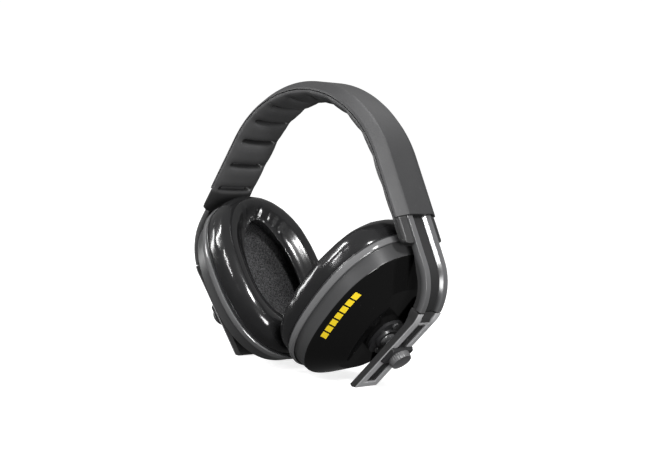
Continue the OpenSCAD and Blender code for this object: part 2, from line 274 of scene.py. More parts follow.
def moulded_plastic(name, colour, roughness, grain=0.02, level=0.5, rubbed=2.6):
    """Moulded plastic: one colour with slight flow marks, a fine moulded grain and rubbed patches of gloss;
    where the mask attribute is set, the colour is painted paler, as painted light.
    """
    material = bpy.data.materials.new(name)
    material.use_nodes = True
    nodes = material.node_tree.nodes
    links = material.node_tree.links
    surface = nodes["Principled BSDF"]
    surface.label = "plastic"
    surface.inputs["Specular IOR Level"].default_value = level
    place = nodes.new("ShaderNodeTexCoord")
    place.label = "place on the object"

    colour_frame = nodes.new("NodeFrame")
    colour_frame.label = "colour: flow marks and painted light"
    flow = nodes.new("ShaderNodeTexNoise")
    flow.label = "flow marks"
    flow.parent = colour_frame
    flow.inputs["Scale"].default_value = 45
    flow.inputs["Detail"].default_value = 3
    tint = nodes.new("ShaderNodeMix")
    tint.label = "darker and lighter plastic"
    tint.parent = colour_frame
    tint.data_type = "RGBA"
    tint.inputs["A"].default_value = (*[c * 0.86 for c in colour], 1)
    tint.inputs["B"].default_value = (*[c * 1.14 for c in colour], 1)
    # Painted light: where this mask is 1, the rubbed factor makes the colour paler, standing for light on
    # raised and outward faces; the rest keeps the darker colour as painted shade.
    painted_light = nodes.new("ShaderNodeAttribute")
    painted_light.label = "painted light on raised and outer faces"
    painted_light.parent = colour_frame
    painted_light.attribute_name = "painted_light"
    paler = nodes.new("ShaderNodeMix")
    paler.label = "paler where rubbed and where light is painted"
    paler.parent = colour_frame
    paler.data_type = "RGBA"
    paler.inputs["B"].default_value = (*[min(c * rubbed, 1) for c in colour], 1)
    links.new(place.outputs["Object"], flow.inputs["Vector"])
    links.new(flow.outputs["Fac"], tint.inputs["Factor"])
    links.new(tint.outputs["Result"], paler.inputs["A"])
    links.new(painted_light.outputs["Fac"], paler.inputs["Factor"])
    links.new(paler.outputs["Result"], surface.inputs["Base Color"])

    gloss_frame = nodes.new("NodeFrame")
    gloss_frame.label = "gloss: rubbed patches"
    rub = nodes.new("ShaderNodeTexNoise")
    rub.label = "rubbed patches"
    rub.parent = gloss_frame
    rub.inputs["Scale"].default_value = 120
    rub.inputs["Detail"].default_value = 5
    gloss = nodes.new("ShaderNodeMapRange")
    gloss.label = "roughness of the patches"
    gloss.parent = gloss_frame
    gloss.inputs["To Min"].default_value = roughness * 0.85
    gloss.inputs["To Max"].default_value = roughness * 1.2
    links.new(place.outputs["Object"], rub.inputs["Vector"])
    links.new(rub.outputs["Fac"], gloss.inputs["Value"])
    links.new(gloss.outputs["Result"], surface.inputs["Roughness"])

    grain_frame = nodes.new("NodeFrame")
    grain_frame.label = "relief: moulded grain"
    speck = nodes.new("ShaderNodeTexNoise")
    speck.label = "fine moulded grain"
    speck.parent = grain_frame
    speck.inputs["Scale"].default_value = 2600
    speck.inputs["Detail"].default_value = 2
    bump = nodes.new("ShaderNodeBump")
    bump.label = "grain height"
    bump.parent = grain_frame
    bump.inputs["Strength"].default_value = 0.5
    bump.inputs["Distance"].default_value = grain * mm
    links.new(place.outputs["Object"], speck.inputs["Vector"])
    links.new(speck.outputs["Fac"], bump.inputs["Height"])
    links.new(bump.outputs["Normal"], surface.inputs["Normal"])

    for i, node in enumerate([place, flow, tint, painted_light, paler, rub, gloss, speck, bump, surface]):
        node.location = (-900 + 230 * (i % 4), 300 - 320 * (i // 4))
    return material


# The rubbed factor of 4.5 sets how much paler the painted light on the rails is.
band_plastic = moulded_plastic("band_plastic", (0.02, 0.02, 0.0205), 0.24, rubbed=4.5)


def rail_outline(width):
    """Half of the band's section, mirrored: flat rails, sloping down to the groove's floor."""
    half = [(width / 2, -band_t), (width / 2, 0), (width / 2 - rail_top, 0),
            (groove_floor + 0.7 * mm, -groove_d + 0.4 * mm), (groove_floor, -groove_d)]
    return half + [(-y, out) for y, out in reversed(half)]


band_bm = bmesh.new()
straight_strip(band_bm, rail_outline(band_w), -split_s, split_s, band_steps)
# The rails' flat tops are painted pale as painted light, and the groove between them keeps the darker colour
# as painted shade
painted_light_layer = band_bm.verts.layers.float.new("painted_light")
for v in band_bm.verts:
    v[painted_light_layer] = 1.0 if v.co.z > -0.1 * mm else 0.0
for v in band_bm.verts:
    v.co.y *= 1 - (1 - split_w / band_w) * smooth_step(abs(v.co.x), taper_from, split_s)
# Two stiffening ribs at each end rise from nothing, and narrow with the band
for side in (-1, 1):
    for edge_side in (-1, 1):
        ends = sorted((side * rib_start, side * split_s))
        y_out = edge_side * (split_w / 2 + rib_clear)
        y_in = y_out - edge_side * rib_w
        rib_outline = [(y_in, -band_t - rib_h), (y_out, -band_t - rib_h),
                       (y_out, -band_t + rib_bury), (y_in, -band_t + rib_bury)]
        rib_bm = bmesh.new()
        straight_strip(rib_bm, rib_outline, *ends, rib_steps)
        for v in rib_bm.verts:
            if v.co.z < -band_t:
                rise = smooth_step(abs(v.co.x), rib_start - 1 * mm, rib_start + rib_rise)
                v.co.z = -band_t - rib_h * rise
            narrow = 1 - (1 - split_w / band_w) * smooth_step(abs(v.co.x), taper_from, split_s)
            v.co.y += edge_side * (band_w * narrow - split_w - 0.5 * mm) / 2
        rib_mesh = bpy.data.meshes.new("rib")
        rib_bm.to_mesh(rib_mesh)
        band_bm.from_mesh(rib_mesh)
        bpy.data.meshes.remove(rib_mesh)
        rib_bm.free()
bend_on_band(band_bm)
finish_piece(band_bm, "headband_strip", "headband", "band_plastic", band_plastic, "headband",
             edge=0.35 * mm, sharp=24)

# ---- Slotted bars ----
# A paler nylon bar is pressed onto each end of the band at the parting line; its outer face is painted
# paler still, as a painted reflection. It carries the slot that the cup slides in, with a shallow step
# round it, and its end is cut level to stand on.
bar_w = 17.5 * mm
shoulder_w = 18.6 * mm
slot_w = 5.6 * mm
slot_len = 51 * mm
slot_from = s_bar + 0.4 * mm
bar_end = s_bar + 58.5 * mm
bar_head = split_s + 0.7 * mm
step_w = 10.4 * mm
step_d = 0.5 * mm
step_past = 1.2 * mm      # how far the step runs on past the slot
groove_end = s_bar - 1.5 * mm
rib_end = s_bar + 6 * mm
bend_cuts = 8

# The rubbed factor of 15 paints the bar's outer face pale grey: a painted reflection.
bar_plastic = moulded_plastic("bar_plastic", (0.03, 0.03, 0.0305), 0.22, rubbed=15)


def cut_across(bm, axis, places):
    """Cuts the sheet along straight lines, at these places on X (0) or Y (1)."""
    for place in places:
        spot = Vector((0, 0, 0))
        line = Vector((0, 0, 0))
        spot[axis] = place
        line[axis] = 1
        bmesh.ops.bisect_plane(bm, geom=bm.verts[:] + bm.edges[:] + bm.faces[:], dist=0.001 * mm,
                               plane_co=spot, plane_no=line)


for side, side_name in ((-1, "left"), (1, "right")):
    bar_bm = bmesh.new()
    bmesh.ops.create_grid(bar_bm, x_segments=1, y_segments=1, size=0.5)
    for v in bar_bm.verts:
        v.co = (bar_head if v.co.x < 0 else bar_end, bar_w * v.co.y, 0)
    bends = [bar_head + (s_bar - bar_head) * i / bend_cuts for i in range(1, bend_cuts + 1)]
    slot_to = slot_from + slot_len
    cut_across(bar_bm, 0, bends + [s_bar - 1.4 * mm, slot_from, slot_to, slot_to + step_past,
                                   s_bar + 3 * mm, rib_end])
    half_widths = [groove_floor, slot_w / 2, step_w / 2]
    cut_across(bar_bm, 1, [-y for y in reversed(half_widths)] + half_widths)
    # The slot
    hole = [f for f in bar_bm.faces
            if slot_from < f.calc_center_median().x < slot_to
            and abs(f.calc_center_median().y) < slot_w / 2]
    bmesh.ops.delete(bar_bm, geom=hole, context="FACES")
    # The thickness
    sunk = bmesh.ops.extrude_face_region(bar_bm, geom=bar_bm.faces[:])
    for v in [g for g in sunk["geom"] if isinstance(g, bmesh.types.BMVert)]:
        v.co.z = -band_t
    bmesh.ops.recalc_face_normals(bar_bm, faces=bar_bm.faces)
    # The shallow step round the slot
    low_faces = [f for f in bar_bm.faces if f.normal.z > 0.9
                 and s_bar - 1.3 * mm < f.calc_center_median().x < slot_to + step_past
                 and abs(f.calc_center_median().y) < step_w / 2]
    stepped = bmesh.ops.extrude_face_region(bar_bm, geom=low_faces)
    bmesh.ops.delete(bar_bm, geom=low_faces, context="FACES_ONLY")
    for v in [g for g in stepped["geom"] if isinstance(g, bmesh.types.BMVert)]:
        v.co.z -= step_d
    # The end of the band's groove runs out on the bar
    for v in bar_bm.verts:
        if abs(v.co.y) < groove_floor + 0.1 * mm and v.co.z > -0.1 * mm and v.co.x < groove_end:
            v.co.z -= groove_d * (1 - smooth_step(v.co.x, bar_head, groove_end))
    # Stiffening ribs on the inner edges
    rib_faces = [f for f in bar_bm.faces
                 if f.normal.z < -0.9 and f.calc_center_median().x < rib_end
                 and abs(f.calc_center_median().y) > step_w / 2]
    ribs = bmesh.ops.extrude_face_region(bar_bm, geom=rib_faces)
    bmesh.ops.delete(bar_bm, geom=rib_faces, context="FACES_ONLY")
    for v in [g for g in ribs["geom"] if isinstance(g, bmesh.types.BMVert)]:
        v.co.z -= rib_h * (1 - smooth_step(v.co.x, s_bar - 5 * mm, rib_end)) + 0.02 * mm
        if abs(v.co.y) < bar_w / 2 - rib_w:
            v.co.y = math.copysign(bar_w / 2 - rib_w, v.co.y)
    # The outer face is painted pale as a painted reflection; a cut just under it keeps the walls and the
    # slot dark, as painted shade
    bmesh.ops.bisect_plane(bar_bm, geom=bar_bm.verts[:] + bar_bm.edges[:] + bar_bm.faces[:],
                           plane_co=(0, 0, -step_d - 0.3 * mm), plane_no=(0, 0, 1))
    painted_light_layer = bar_bm.verts.layers.float.new("painted_light")
    for v in bar_bm.verts:
        in_groove = abs(v.co.y) < groove_floor + 0.1 * mm and v.co.x < groove_end
        v[painted_light_layer] = 1.0 if v.co.z > -step_d - 0.1 * mm and not in_groove else 0.0
    # The shoulders, where the bar meets the band, are a little wider
    for v in bar_bm.verts:
        v.co.y *= 1 + (shoulder_w / bar_w - 1) * (1 - smooth_step(v.co.x, bar_head + 1 * mm, s_bar))
        v.co.x *= side
    if side < 0:
        bmesh.ops.reverse_faces(bar_bm, faces=bar_bm.faces)
    bend_on_band(bar_bm)
    # The end is cut level to stand on
    foot = bmesh.ops.bisect_plane(bar_bm, geom=bar_bm.verts[:] + bar_bm.edges[:] + bar_bm.faces[:],
                                  plane_co=(0, 0, 0), plane_no=(0, 0, -1), clear_outer=True)
    bmesh.ops.holes_fill(bar_bm, edges=[g for g in foot["geom_cut"] if isinstance(g, bmesh.types.BMEdge)])
    bmesh.ops.recalc_face_normals(bar_bm, faces=bar_bm.faces)
    finish_piece(bar_bm, f"{side_name}_bar", "headband", "bar_plastic", bar_plastic, f"{side_name}_slot_bar",
                 edge=0.2 * mm, sharp=30)

# ---- Crown cover ----
# A wide sleeve of soft vinyl, moulded to lie flat over the band and slope down on both sides. Its
# rolled lips hold the padding, and its ends are cut square across the arms.
cover_w = 34.5 * mm
cover_len = 110 * mm
cover_t = 1.5 * mm
cover_flat = 9.4 * mm
cover_top = 1.7 * mm
cover_lip = 3.6 * mm
cover_steps = 110


def soft_vinyl(name, colour, roughness, leather=0.05, scale=700, wear=0.0, level=0.5):
    """Soft vinyl: faint mottling, a pebbled grain, rubbed spots, and painted shade where the crease
    attribute is set.
    """
    material = bpy.data.materials.new(name)
    material.use_nodes = True
    nodes = material.node_tree.nodes
    links = material.node_tree.links
    surface = nodes["Principled BSDF"]
    surface.label = "vinyl"
    surface.inputs["Specular IOR Level"].default_value = level
    place = nodes.new("ShaderNodeTexCoord")
    place.label = "place on the object"

    colour_frame = nodes.new("NodeFrame")
    colour_frame.label = "colour: mottling, rubbed spots and painted shade"
    mottle = nodes.new("ShaderNodeTexNoise")
    mottle.label = "mottling"
    mottle.parent = colour_frame
    mottle.inputs["Scale"].default_value = 60
    mottle.inputs["Detail"].default_value = 6
    tint = nodes.new("ShaderNodeMix")
    tint.label = "darker and lighter vinyl"
    tint.parent = colour_frame
    tint.data_type = "RGBA"
    tint.inputs["A"].default_value = (*[c * 0.85 for c in colour], 1)
    tint.inputs["B"].default_value = (*[c * 1.15 for c in colour], 1)
    spots = nodes.new("ShaderNodeTexNoise")
    spots.label = "rubbed spots"
    spots.parent = colour_frame
    spots.inputs["Scale"].default_value = 380
    spots.inputs["Detail"].default_value = 4
    few = nodes.new("ShaderNodeMapRange")
    few.label = "only the strongest spots"
    few.parent = colour_frame
    few.inputs["From Min"].default_value = 0.66
    few.inputs["From Max"].default_value = 0.78
    few.inputs["To Max"].default_value = wear
    rubbed = nodes.new("ShaderNodeMix")
    rubbed.label = "paler where rubbed and where light is painted"
    rubbed.parent = colour_frame
    rubbed.data_type = "RGBA"
    rubbed.inputs["B"].default_value = (*[c * 2.2 + 0.02 for c in colour], 1)
    links.new(place.outputs["Object"], mottle.inputs["Vector"])
    links.new(place.outputs["Object"], spots.inputs["Vector"])
    links.new(mottle.outputs["Fac"], tint.inputs["Factor"])
    links.new(spots.outputs["Fac"], few.inputs["Value"])
    links.new(tint.outputs["Result"], rubbed.inputs["A"])
    links.new(few.outputs["Result"], rubbed.inputs["Factor"])
    # Painted shade: the crease attribute darkens the colour to a tenth in the pad's sewn channels and on its
    # tongues.
    channels = nodes.new("ShaderNodeAttribute")
    channels.label = "sewn channels"
    channels.parent = colour_frame
    channels.attribute_name = "crease"
    darker = nodes.new("ShaderNodeMix")
    darker.label = "painted shade in the channels and on the tongues"
    darker.parent = colour_frame
    darker.data_type = "RGBA"
    darker.inputs["B"].default_value = (*[c * 0.1 for c in colour], 1)
    links.new(rubbed.outputs["Result"], darker.inputs["A"])
    links.new(channels.outputs["Fac"], darker.inputs["Factor"])
    links.new(darker.outputs["Result"], surface.inputs["Base Color"])

    gloss_frame = nodes.new("NodeFrame")
    gloss_frame.label = "gloss: handled patches"
    handled = nodes.new("ShaderNodeTexNoise")
    handled.label = "handled patches"
    handled.parent = gloss_frame
    handled.inputs["Scale"].default_value = 90
    handled.inputs["Detail"].default_value = 4
    gloss = nodes.new("ShaderNodeMapRange")
    gloss.label = "roughness of the patches"
    gloss.parent = gloss_frame
    gloss.inputs["To Min"].default_value = roughness * 0.8
    gloss.inputs["To Max"].default_value = roughness * 1.25
    links.new(place.outputs["Object"], handled.inputs["Vector"])
    links.new(handled.outputs["Fac"], gloss.inputs["Value"])
    links.new(gloss.outputs["Result"], surface.inputs["Roughness"])

    grain_frame = nodes.new("NodeFrame")
    grain_frame.label = "relief: pebbled grain"
    pebble = nodes.new("ShaderNodeTexVoronoi")
    pebble.label = "pebbles"
    pebble.parent = grain_frame
    pebble.inputs["Scale"].default_value = scale
    bump = nodes.new("ShaderNodeBump")
    bump.label = "pebble height"
    bump.parent = grain_frame
    bump.inputs["Strength"].default_value = 0.6
    bump.inputs["Distance"].default_value = leather * mm
    links.new(place.outputs["Object"], pebble.inputs["Vector"])
    links.new(pebble.outputs["Distance"], bump.inputs["Height"])
    links.new(bump.outputs["Normal"], surface.inputs["Normal"])

    order = [place, mottle, tint, spots, few, rubbed, channels, darker, handled, gloss, pebble, bump,
             surface]
    for i, node in enumerate(order):
        node.location = (-1100 + 230 * (i % 5), 300 - 320 * (i // 5))
    return material


cover_vinyl = soft_vinyl("cover_vinyl", (0.028, 0.028, 0.029), 0.5, leather=0.03, scale=900, wear=0.25)

# Half of the section: the flat top, the slope, the rolled lip, and back along the underside
half_cover = [(cover_flat, cover_top),
              (cover_flat + 1.6 * mm, cover_top - 0.7 * mm),
              (cover_w / 2 - 0.9 * mm, -cover_lip + 1.5 * mm),
              (cover_w / 2, -cover_lip + 0.3 * mm),
              (cover_w / 2 - 0.4 * mm, -cover_lip),
              (cover_w / 2 - cover_t, -cover_lip + 0.1 * mm),
              (cover_flat + 0.9 * mm, cover_top - cover_t - 0.2 * mm),
              (cover_flat + 0.2 * mm, cover_top - cover_t)]
cover_outline = half_cover + [(-y, out) for y, out in reversed(half_cover)]
cover_bm = bmesh.new()
straight_strip(cover_bm, cover_outline, -cover_len, cover_len, cover_steps)
bend_on_band(cover_bm)
finish_piece(cover_bm, "crown_cover", "headband", "cover_vinyl", cover_vinyl, "band_cover",
             edge=0.4 * mm, sharp=20)

# ---- Crown padding ----
# A foam pad in soft vinyl under the band. It is crowned across, and thirteen sewn channels part it
# into puffed ribs; the channels stop short of the edges. Its ends run on as thin rounded tongues.
pad_len = 126.5 * mm
pad_w = 34.2 * mm
pad_ribs = 14
pad_edge = 5.0 * mm       # how deep the pad's lower edge lies
pad_crest = 10.2 * mm     # how deep the middle of a rib lies
pad_square = 0.55         # below 1, it squares the section's sides
pillow_d = 1.4 * mm
channel_d = 4.0 * mm
channel_half = 1.5 * mm
channel_y = 12.8 * mm     # where the channels end, out from the middle
channel_last = 6.5        # no channel is sewn farther out than this many ribs
end_flat = 1.7 * mm       # how much shallower the last ribs are
end_flat_run = 32 * mm
tongue_round = 5 * mm
tongue_power = 2.6
tongue_tip = 0.28         # the share of the width that is left at the tip
tongue_thin = 1.9 * mm
tongue_dark = 0.8
rib_pinch = 0.012         # how much the channels draw the edges in
around = 72
along = 480

pad_vinyl = soft_vinyl("pad_vinyl", (0.055, 0.055, 0.056), 0.42, leather=0.03, scale=900, wear=0.15)

pad_bm = bmesh.new()
on_edge = Matrix.Rotation(math.radians(90), 4, "Y")
bmesh.ops.create_circle(pad_bm, cap_ends=True, segments=around, radius=1,
                        matrix=Matrix.Translation((-pad_len, 0, 0)) @ on_edge)
bmesh.ops.spin(pad_bm, geom=pad_bm.verts[:] + pad_bm.edges[:] + pad_bm.faces[:], cent=(0, 0, 0),
               axis=(1, 0, 0), dvec=(2 * pad_len / along, 0, 0), angle=0, steps=along)
rib_pitch = 2 * pad_len / pad_ribs
channel_shade_layer = pad_bm.verts.layers.float.new("crease")
for v in pad_bm.verts:
    s = v.co.x
    turn = math.atan2(v.co.z, v.co.y)
    v[channel_shade_layer] = 0.0
    # The ends are rounded in plan
    past = max(abs(s) - (pad_len - tongue_round), 0) / tongue_round
    narrow = 1
    if past > 0:
        rounding = max(1 - past ** tongue_power, 0.0) ** (1 / tongue_power)
        narrow = rounding * (1 - tongue_tip) + tongue_tip
    y = math.copysign(abs(math.cos(turn)) ** pad_square, math.cos(turn)) * pad_w / 2 * narrow
    share_out = min(abs(y) / (pad_w / 2), 1)
    if math.sin(turn) >= 0:
        # The top follows the underside of the cover, and lies under the band in the middle
        slope = max(share_out * pad_w / 2 - cover_flat, 0) / (pad_w / 2 - cover_flat)
        out = cover_top - cover_t - 0.35 * mm - (cover_lip - 0.6 * mm) * slope
        out = min(out, -0.5 * mm if abs(s) > cover_len - 1 * mm else 1)
        if abs(y) < band_w / 2 + 0.2 * mm:
            out = -band_t - 0.15 * mm
        if abs(y) > cover_w / 2 - cover_t - 0.5 * mm:
            out = min(out, -cover_lip - 0.3 * mm)
    else:
        crown = max(1 - share_out ** 2.6, 0) ** 0.62
        pillow = abs(math.cos(math.pi * s / rib_pitch)) ** 4
        from_channel = abs(s - round(s / rib_pitch) * rib_pitch)
        channel = math.exp(-(from_channel / channel_half) ** 2) if abs(s) < channel_last * rib_pitch else 0
        reach = 1 - smooth_step(abs(y), channel_y - 1.2 * mm, channel_y + 1.6 * mm)
        out = -pad_edge - (pad_crest - pad_edge) * crown
        out += pillow_d * pillow * crown + channel_d * channel * reach
        # Painted shade in the sewn channels, through the crease attribute
        v[channel_shade_layer] = channel * reach
        # The ribs near the ends are flatter, so that a raised cup passes them
        thin = smooth_step(abs(s), cover_len + 1 * mm, pad_len)
        flatter = smooth_step(abs(s), cover_len - end_flat_run, cover_len - 8 * mm)
        out += (thin * tongue_thin + flatter * end_flat) * crown
    # The tongues are darker, as little light reaches under the arms
    on_tongue = smooth_step(abs(s), cover_len - 1 * mm, cover_len + 2 * mm)
    v[channel_shade_layer] = max(v[channel_shade_layer], tongue_dark * on_tongue)
    if math.sin(turn) < 0.4:
        y *= 1 - rib_pinch * abs(math.cos(math.pi * s / rib_pitch)) ** 6
    v.co = (s, y, out)
bmesh.ops.recalc_face_normals(pad_bm, faces=pad_bm.faces)
bend_on_band(pad_bm)
crown_pad = finish_piece(pad_bm, "crown_pad", "headband", "pad_vinyl", pad_vinyl, "band_cushion", sharp=60)

# ---- Where the cups and sliders sit ----
# The ball's centre and the two axes come from the joints. On the bar, X points out from the bar's
# outer face and Z runs up it; on the cup, X points out from the rim's plane and Z runs along the cup.
joints = {joint["name"]: joint for joint in frame["joints"]}
ball_drop = 12.5 * mm
ball_h = 28.5 * mm
ball = Vector(joints["right_stud_spin"]["pos_m"])
bar_axis = Vector(joints["right_stud_spin"]["axis"]).normalized()
cup_long = Vector(joints["right_cup_swivel"]["axis"]).normalized()
cup_axis = Vector((cup_long.z, 0, -cup_long.x))
to_back = Vector((0, 1, 0))


def frame_at(origin, x_axis, z_axis):
    """A piece's own frame: its place and its X and Z; Y always points to the back."""
    return Matrix.Translation(origin) @ Matrix((x_axis, to_back, z_axis)).transposed().to_4x4()


bar_frame = frame_at(ball + ball_drop * bar_axis, bar_axis, Vector((-bar_axis.z, 0, bar_axis.x)))
cup_mid = ball - ball_h * cup_axis
cup_frame = frame_at(cup_mid, cup_axis, cup_long)


def put(bm, place, side):
    """Moves a piece from its own frame to its place on the right, or to the mirrored place."""
    bm.transform(place)
    if side < 0:
        bmesh.ops.scale(bm, vec=(-1, 1, 1), verts=bm.verts)
        bmesh.ops.reverse_faces(bm, faces=bm.faces)


cup_power = 2.35          # 2 is an ellipse; more makes the oval's sides fuller


def power_oval(a, b, turn, power=cup_power):
    """A point (y, z) of a rounded oval with half axes a along Z and b along Y."""
    c = math.cos(turn)
    s = math.sin(turn)
    return b * math.copysign(abs(s) ** (2 / power), s), a * math.copysign(abs(c) ** (2 / power), c)


# ---- Runner and knob ----
# The runner is a nylon block that slides in the slot, with a flange across the bar's face. A round
# knob with a finely fluted side and a dished face is pressed onto it.
knob_plastic = moulded_plastic("knob_plastic", (0.1, 0.1, 0.102), 0.32)
runner_plastic = moulded_plastic("runner_plastic", (0.02, 0.02, 0.021), 0.35)
flange_foot = 0.1 * mm
flange_t = 2.4 * mm
flange_len = 12 * mm
knob_r = 6.4 * mm
knob_h = 3.8 * mm
knob_flutes = 28
flute_points = 6
flute_d = 0.035           # as a share of the knob's radius
knob_shrink = 0.93        # the face's share of the knob's radius
# The face's rings from its edge in: how far in, and how much lower or higher
knob_face = [(0.9 * mm, 0.0), (0.5 * mm, -0.35 * mm), (1.6 * mm, -0.15 * mm)]

for side, side_name in ((-1, "left"), (1, "right")):
    runner_bm = bmesh.new()
    block = bmesh.ops.create_cube(runner_bm, size=1)
    bmesh.ops.scale(runner_bm, vec=(flange_t, bar_w, flange_len), verts=block["verts"])
    bmesh.ops.translate(runner_bm, vec=(flange_foot + flange_t / 2, 0, 0), verts=block["verts"])
    for v in block["verts"]:
        if v.co.x > flange_t / 2:
            v.co.z *= 0.86
            v.co.y *= 0.96
    tail = bmesh.ops.create_cube(runner_bm, size=1)
    bmesh.ops.scale(runner_bm, vec=(band_t + 0.2 * mm, slot_w - 0.3 * mm, flange_len - 1 * mm),
                    verts=tail["verts"])
    bmesh.ops.translate(runner_bm, vec=(-band_t / 2 + 0.1 * mm, 0, 0), verts=tail["verts"])
    put(runner_bm, bar_frame, side)
    finish_piece(runner_bm, f"{side_name}_runner", f"{side_name}_slider", "knob_plastic", runner_plastic,
                 f"{side_name}_slot_runner", edge=0.4 * mm)

    knob_bm = bmesh.new()
    bmesh.ops.create_circle(knob_bm, cap_ends=True, segments=knob_flutes * flute_points, radius=knob_r,
                            matrix=on_edge)
    bmesh.ops.spin(knob_bm, geom=knob_bm.verts[:] + knob_bm.edges[:] + knob_bm.faces[:],
                   cent=(0, 0, 0), axis=(1, 0, 0), dvec=(knob_h / 3, 0, 0), angle=0, steps=3)
    bmesh.ops.recalc_face_normals(knob_bm, faces=knob_bm.faces)
    face = max(knob_bm.faces, key=lambda f: f.calc_center_median().x)
    rim = face.verts[:]
    for v in knob_bm.verts:
        if v.co.x < knob_h * 0.9:
            turn = math.atan2(v.co.z, v.co.y)
            v.co.yz = v.co.yz * (1 - flute_d * (0.5 + 0.5 * math.cos(knob_flutes * turn)))
    for v in rim:
        v.co.yz = v.co.yz * knob_shrink
    for inward, dish in knob_face:
        bmesh.ops.inset_region(knob_bm, faces=[face], thickness=inward, depth=dish)
    bmesh.ops.translate(knob_bm, vec=(flange_foot + flange_t, 0, 0), verts=knob_bm.verts)
    put(knob_bm, bar_frame, side)
    finish_piece(knob_bm, f"{side_name}_knob", f"{side_name}_slider", "knob_plastic", knob_plastic,
                 f"{side_name}_slide_knob", sharp=40)

# ---- Cup shell ----
# A hollow gloss moulding: a short side wall from the rim to a crisp crease, a back that slopes up to
# a flat top, and a channel through the top for the bar. The ball's boss stands in the channel.
# Each ring of the shell: its height over the rim's plane, and its half length and half width
shell_rim = (0.1 * mm, 51.8 * mm, 38.3 * mm)
shell_crease = (12.6 * mm, 49 * mm, 37 * mm)
shell_top = (27.2 * mm, 27 * mm, 20 * mm)
hollow_top = (19.4 * mm, 34 * mm, 25 * mm)
wall_t = 2.4 * mm
channel_w = 27 * mm
channel_floor = 23.6 * mm
boss_r = 12.4 * mm
boss_h = 27.6 * mm
boss_foot = 18.5 * mm
socket_r = 7.3 * mm
shell_sides = 144


def gloss_shell(name, colour, roughness, level=0.5, satin_and_sheen=(0.045, 0.045, 0.046)):
    """Polished plastic with a faint ripple and fine dust; where the satin mask is set it has a softer satin
    gloss and a paler colour, which is a painted reflection.
    """
    material = bpy.data.materials.new(name)
    material.use_nodes = True
    nodes = material.node_tree.nodes
    links = material.node_tree.links
    surface = nodes["Principled BSDF"]
    surface.label = "polished plastic"
    surface.inputs["Specular IOR Level"].default_value = level
    place = nodes.new("ShaderNodeTexCoord")
    place.label = "place on the object"

    dust_frame = nodes.new("NodeFrame")
    dust_frame.label = "colour and gloss: fine dust"
    dust = nodes.new("ShaderNodeTexNoise")
    dust.label = "dust"
    dust.parent = dust_frame
    dust.inputs["Scale"].default_value = 900
    dust.inputs["Detail"].default_value = 5
    specks = nodes.new("ShaderNodeMapRange")
    specks.label = "only a few specks"
    specks.parent = dust_frame
    specks.inputs["From Min"].default_value = 0.68
    specks.inputs["From Max"].default_value = 0.85
    tint = nodes.new("ShaderNodeMix")
    tint.label = "dust on the colour"
    tint.parent = dust_frame
    tint.data_type = "RGBA"
    tint.inputs["A"].default_value = (*colour, 1)
    tint.inputs["B"].default_value = (*[c + 0.02 for c in colour], 1)
    gloss = nodes.new("ShaderNodeMapRange")
    gloss.label = "duller where dusty"
    gloss.parent = dust_frame
    gloss.inputs["To Min"].default_value = roughness
    gloss.inputs["To Max"].default_value = roughness + 0.12
    links.new(place.outputs["Object"], dust.inputs["Vector"])
    links.new(dust.outputs["Fac"], specks.inputs["Value"])
    links.new(specks.outputs["Result"], tint.inputs["Factor"])
    links.new(specks.outputs["Result"], gloss.inputs["Value"])

    satin_frame = nodes.new("NodeFrame")
    satin_frame.label = "satin side wall"
    wall = nodes.new("ShaderNodeAttribute")
    wall.label = "side wall"
    wall.parent = satin_frame
    wall.attribute_name = "satin_and_sheen"
    # Painted reflection: the side wall's paler colour stands for the light it mirrors; its softer gloss is
    # the real satin finish.
    wall_tint = nodes.new("ShaderNodeMix")
    wall_tint.label = "paler side wall"
    wall_tint.parent = satin_frame
    wall_tint.data_type = "RGBA"
    wall_tint.inputs["B"].default_value = (*satin_and_sheen, 1)
    wall_gloss = nodes.new("ShaderNodeMix")
    wall_gloss.label = "softer gloss on the side wall"
    wall_gloss.parent = satin_frame
    wall_gloss.inputs["B"].default_value = 0.32
    links.new(wall.outputs["Fac"], wall_tint.inputs["Factor"])
    links.new(tint.outputs["Result"], wall_tint.inputs["A"])
    links.new(wall_tint.outputs["Result"], surface.inputs["Base Color"])
    links.new(wall.outputs["Fac"], wall_gloss.inputs["Factor"])
    links.new(gloss.outputs["Result"], wall_gloss.inputs["A"])
    links.new(wall_gloss.outputs["Result"], surface.inputs["Roughness"])

    ripple_frame = nodes.new("NodeFrame")
    ripple_frame.label = "relief: moulding ripple"
    ripple = nodes.new("ShaderNodeTexNoise")
    ripple.label = "ripple"
    ripple.parent = ripple_frame
    ripple.inputs["Scale"].default_value = 70
    ripple.inputs["Detail"].default_value = 1
    bump = nodes.new("ShaderNodeBump")
    bump.label = "ripple height"
    bump.parent = ripple_frame
    bump.inputs["Strength"].default_value = 0.2
    bump.inputs["Distance"].default_value = 0.1 * mm
    links.new(place.outputs["Object"], ripple.inputs["Vector"])
    links.new(ripple.outputs["Fac"], bump.inputs["Height"])
    links.new(bump.outputs["Normal"], surface.inputs["Normal"])

    for i, node in enumerate([place, dust, specks, tint, gloss, wall, wall_tint, wall_gloss,
                              ripple, bump, surface]):
        node.location = (-900 + 230 * (i % 4), 300 - 320 * (i // 4))
    return material


shell_gloss = gloss_shell("shell_gloss", (0.005, 0.005, 0.005), 0.12, level=0.3)
rim_gloss = gloss_shell("rim_gloss", (0.12, 0.12, 0.122), 0.13)


def shell_ring(bm, ring, depth, a, b):
    """Extrudes an open edge and sets the new ring to an oval at this depth."""
    grown = bmesh.ops.extrude_edge_only(bm, edges=ring)
    for v in [g for g in grown["geom"] if isinstance(g, bmesh.types.BMVert)]:
        turn = v[bm.verts.layers.float["turn"]]
        v.co.x = depth
        v.co.yz = power_oval(a, b, turn)
    return [g for g in grown["geom"] if isinstance(g, bmesh.types.BMEdge)]


